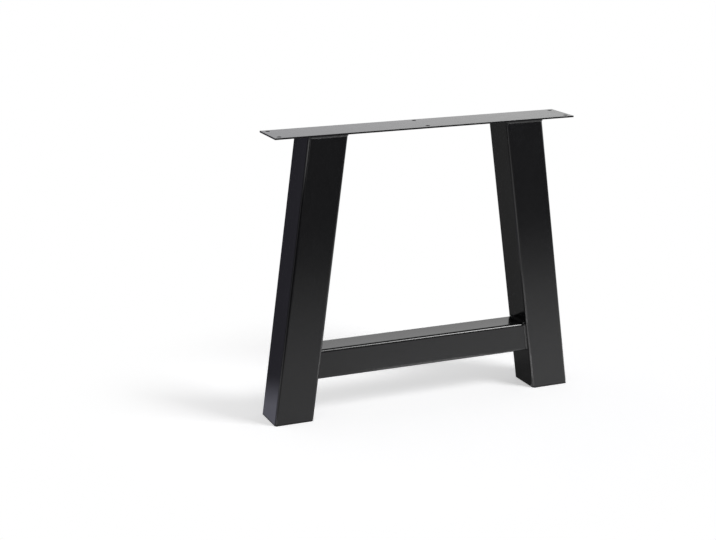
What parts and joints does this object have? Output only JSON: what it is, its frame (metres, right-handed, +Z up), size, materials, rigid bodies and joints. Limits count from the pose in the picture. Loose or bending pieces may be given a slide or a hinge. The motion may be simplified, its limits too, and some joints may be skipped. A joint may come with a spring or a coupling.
{
  "type": "table leg",
  "caption": "Welded A-frame table leg: leaning square steel tubes under a flat drilled top plate, joined low down by a square crossbar, with plastic inserts in the feet.",
  "frame": {"origin": "on the floor, midway between the feet and midway through the leg's depth", "axes": "+X along the top plate and the crossbar, +Z up, -Y towards the face that the picture shows"},
  "size_m": [0.8118, 0.11, 0.71],
  "materials": {
    "powder_coat": "satin black powder coat on steel",
    "foot_plastic": "matt black moulded plastic"
  },
  "bodies": {
    "root": {"top_plate": "powder_coat", "crossbar": "powder_coat", "left_leg": "powder_coat", "right_leg": "powder_coat", "left_plate_weld": "powder_coat", "right_plate_weld": "powder_coat", "left_bar_weld": "powder_coat", "right_bar_weld": "powder_coat", "left_foot_insert": "foot_plastic", "right_foot_insert": "foot_plastic"}
  },
  "joints": []
}
